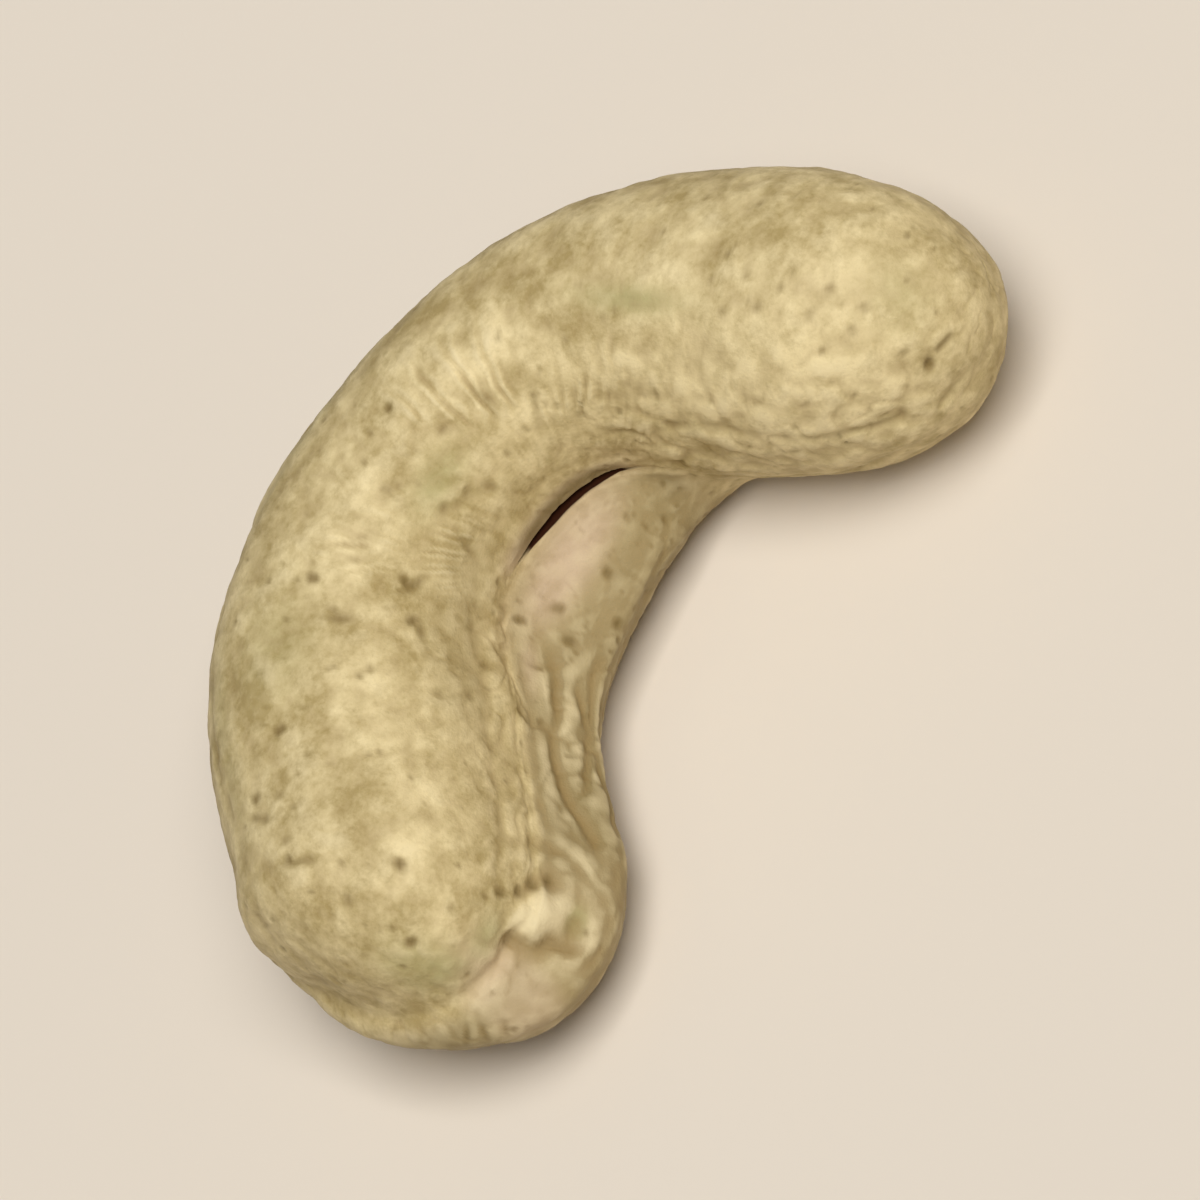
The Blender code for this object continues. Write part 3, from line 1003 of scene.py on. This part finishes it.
def kernel_material():
    """Peeled kernel: straw and cream mottling, pink and tawny in the hollow, the tawny partly
    painted shade, olive patches, a pale germ, painted shade in the hollows of the surface and a
    painted highlight on its crests, brown specks, painted shade on the lip and under the germ's
    tip, a slit painted black as shade, and a dry finish with the finest grain as bump."""
    material, tree = new_material("kernel_flesh")
    position = add_node(tree, "ShaderNodeTexCoord", output=3)

    def mark(name):
        """One of the mesh's marks."""
        return add_node(tree, "ShaderNodeAttribute", {"attribute_name": name}, output=2)

    broad = noise_at(tree, position, 3.0, 3.0, 0.55)
    patchy = noise_at(tree, position, 0.9, 4.0, 0.6)
    grain = noise_at(tree, position, 0.22, 4.0, 0.65)
    mottle = broad * 1.2 + patchy * 1.9 + grain * 1.3 + mark("cream") * 0.5 - 1.80
    colour = blend_colour(tree, mottle.clamped(), STRAW, CREAM)
    pink = (mark("pink") * (patchy * 0.7 + 0.6)).clamped()
    colour = blend_colour(tree, pink, colour, PINK)
    # Tawny tone, partly painted shade, and painted shade on the upper half's edge and the lip.
    lower = (mark("lower") * (broad * 0.8 + patchy * 0.6 + 0.14)).clamped()
    colour = blend_colour(tree, lower, colour, TAWNY_AND_SHADE)
    olive = (mark("olive") * (patchy * 1.5)).clamped()
    colour = blend_colour(tree, olive, colour, OLIVE)
    colour = blend_colour(tree, mark("pale") * (patchy * 0.6 + 0.1), colour, PALE_AND_HIGHLIGHT)
    # Painted shade in the hollows of the surface.
    cavity = (mark("cavity") * 0.6 + grain * 0.6 - 0.24).clamped()
    colour = blend_colour(tree, cavity, colour, HOLLOW_SHADE)
    # Painted highlight on the crests, where the surface stands above its average; it stands also
    # for pale flecks of skin.
    crest_highlight = (mark("cavity") * -0.6).clamped()
    colour = blend_colour(tree, crest_highlight, colour, PALE_AND_HIGHLIGHT)
    # Brown specks and smears, and painted shade on the lip and under the germ's tip.
    colour = blend_colour(tree, (mark("dark") * 0.8).clamped(), colour, BROWN_AND_SHADE)
    # Painted shade inside the slit.
    colour = blend_colour(tree, mark("slit"), colour, SLIT_SHADE_BLACK)
    roughness = grain * 0.25 + mark("slit") * 0.4 + 0.45
    relief = grain * 0.7 + noise_at(tree, position, 0.08, 3.0) * 0.3
    normal = add_node(tree, "ShaderNodeBump", {}, {
        "Strength": 0.6, "Distance": 0.06 * MM, "Height": relief})
    finish_material(tree, {
        "IOR": 1.45, "Specular IOR Level": 0.2,
        "Base Color": colour, "Roughness": roughness, "Normal": normal})
    return material


def floor_material():
    """One pale tone, dry and plain."""
    material, tree = new_material("pale_floor")
    finish_material(tree, {
        "Base Color": FLOOR_COLOUR, "Roughness": 0.8, "Specular IOR Level": 0.2})
    return material


def build_kernel():
    """The whole kernel as one mesh, with its marks and its material."""
    kernel = Kernel()
    points = kernel_points(kernel)
    mesh = grid_mesh("cashew_flesh", points, kernel.marks)
    mesh.materials.append(kernel_material())
    piece = bpy.data.objects.new("cashew_flesh", mesh)
    bpy.context.scene.collection.objects.link(piece)
    return piece


def build_floor():
    """A flat square at the height that the kernel rests on."""
    bpy.ops.mesh.primitive_plane_add(size=FLOOR_SIZE)
    floor = bpy.context.object
    floor.name = "floor"
    floor.data.materials.append(floor_material())
    return floor


def camera_axes():
    """Picture's right, up and the way back to the camera, as unit vectors of the part's frame."""
    down = Vector((0.0, -math.cos(CAMERA_TILT), -math.sin(CAMERA_TILT)))
    side = Vector((1.0, 0.0, 0.0))
    right = math.cos(CAMERA_TURN) * down - math.sin(CAMERA_TURN) * side
    up = math.sin(CAMERA_TURN) * down + math.cos(CAMERA_TURN) * side
    return right, up, right.cross(up)


def build_camera():
    """A long lens, as far back as the picture's width times the lens over the sensor."""
    right, up, back = camera_axes()
    start = Vector((-MIDDLE[0], -MIDDLE[1], REST_DEPTH))
    aim = (start - PICTURE_SHIFT * right) * MM
    data = bpy.data.cameras.new("camera")
    data.lens = LENS
    data.sensor_width = SENSOR
    data.clip_start = 0.01
    camera = bpy.data.objects.new("camera", data)
    bpy.context.scene.collection.objects.link(camera)
    place = aim + back * (PICTURE_WIDTH * MM * LENS / SENSOR)
    turn = Matrix((right, up, back)).transposed().to_4x4()
    camera.matrix_world = Matrix.Translation(place) @ turn
    bpy.context.scene.camera = camera


def add_light(name, place, size, power, colour):
    """A square soft box at a place in metres, facing the kernel."""
    data = bpy.data.lights.new(name, "AREA")
    data.size = size
    data.energy = power
    data.color = colour
    light = bpy.data.objects.new(name, data)
    light.location = place
    light.rotation_euler = Vector(place).to_track_quat("Z", "Y").to_euler()
    bpy.context.scene.collection.objects.link(light)


def build_lights():
    """Each light stands at its row's shares of the picture's directions, times the distance."""
    right, up, back = camera_axes()
    for name, across, above, behind, size, power, colour in LIGHTS:
        place = LIGHT_DISTANCE * (across * right + above * up + behind * back)
        add_light(name, place, size, power, colour)


def build_world():
    """A dim soft room around the floor, which fades at the horizon to a tone near the floor's."""
    world = bpy.data.worlds.new("studio")
    world.use_nodes = True
    tree = world.node_tree
    tree.nodes.clear()
    way = add_node(tree, "ShaderNodeTexCoord")
    height = add_node(tree, "ShaderNodeSeparateXYZ", {}, {0: way}, output=2)
    low = ((HORIZON_TOP - height) * (1.0 / HORIZON_FADE)).clamped()
    colour = blend_colour(tree, low, ROOM, HORIZON)
    background = add_node(tree, "ShaderNodeBackground", {}, {"Color": colour, "Strength": 1.0})
    add_node(tree, "ShaderNodeOutputWorld", {}, {"Surface": background})
    bpy.context.scene.world = world


kernel_piece = build_kernel()
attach(kernel_piece, "root")
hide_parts("cashew_kernel")
build_floor()
build_camera()
build_lights()
build_world()
bpy.context.scene.view_settings.view_transform = "Standard"
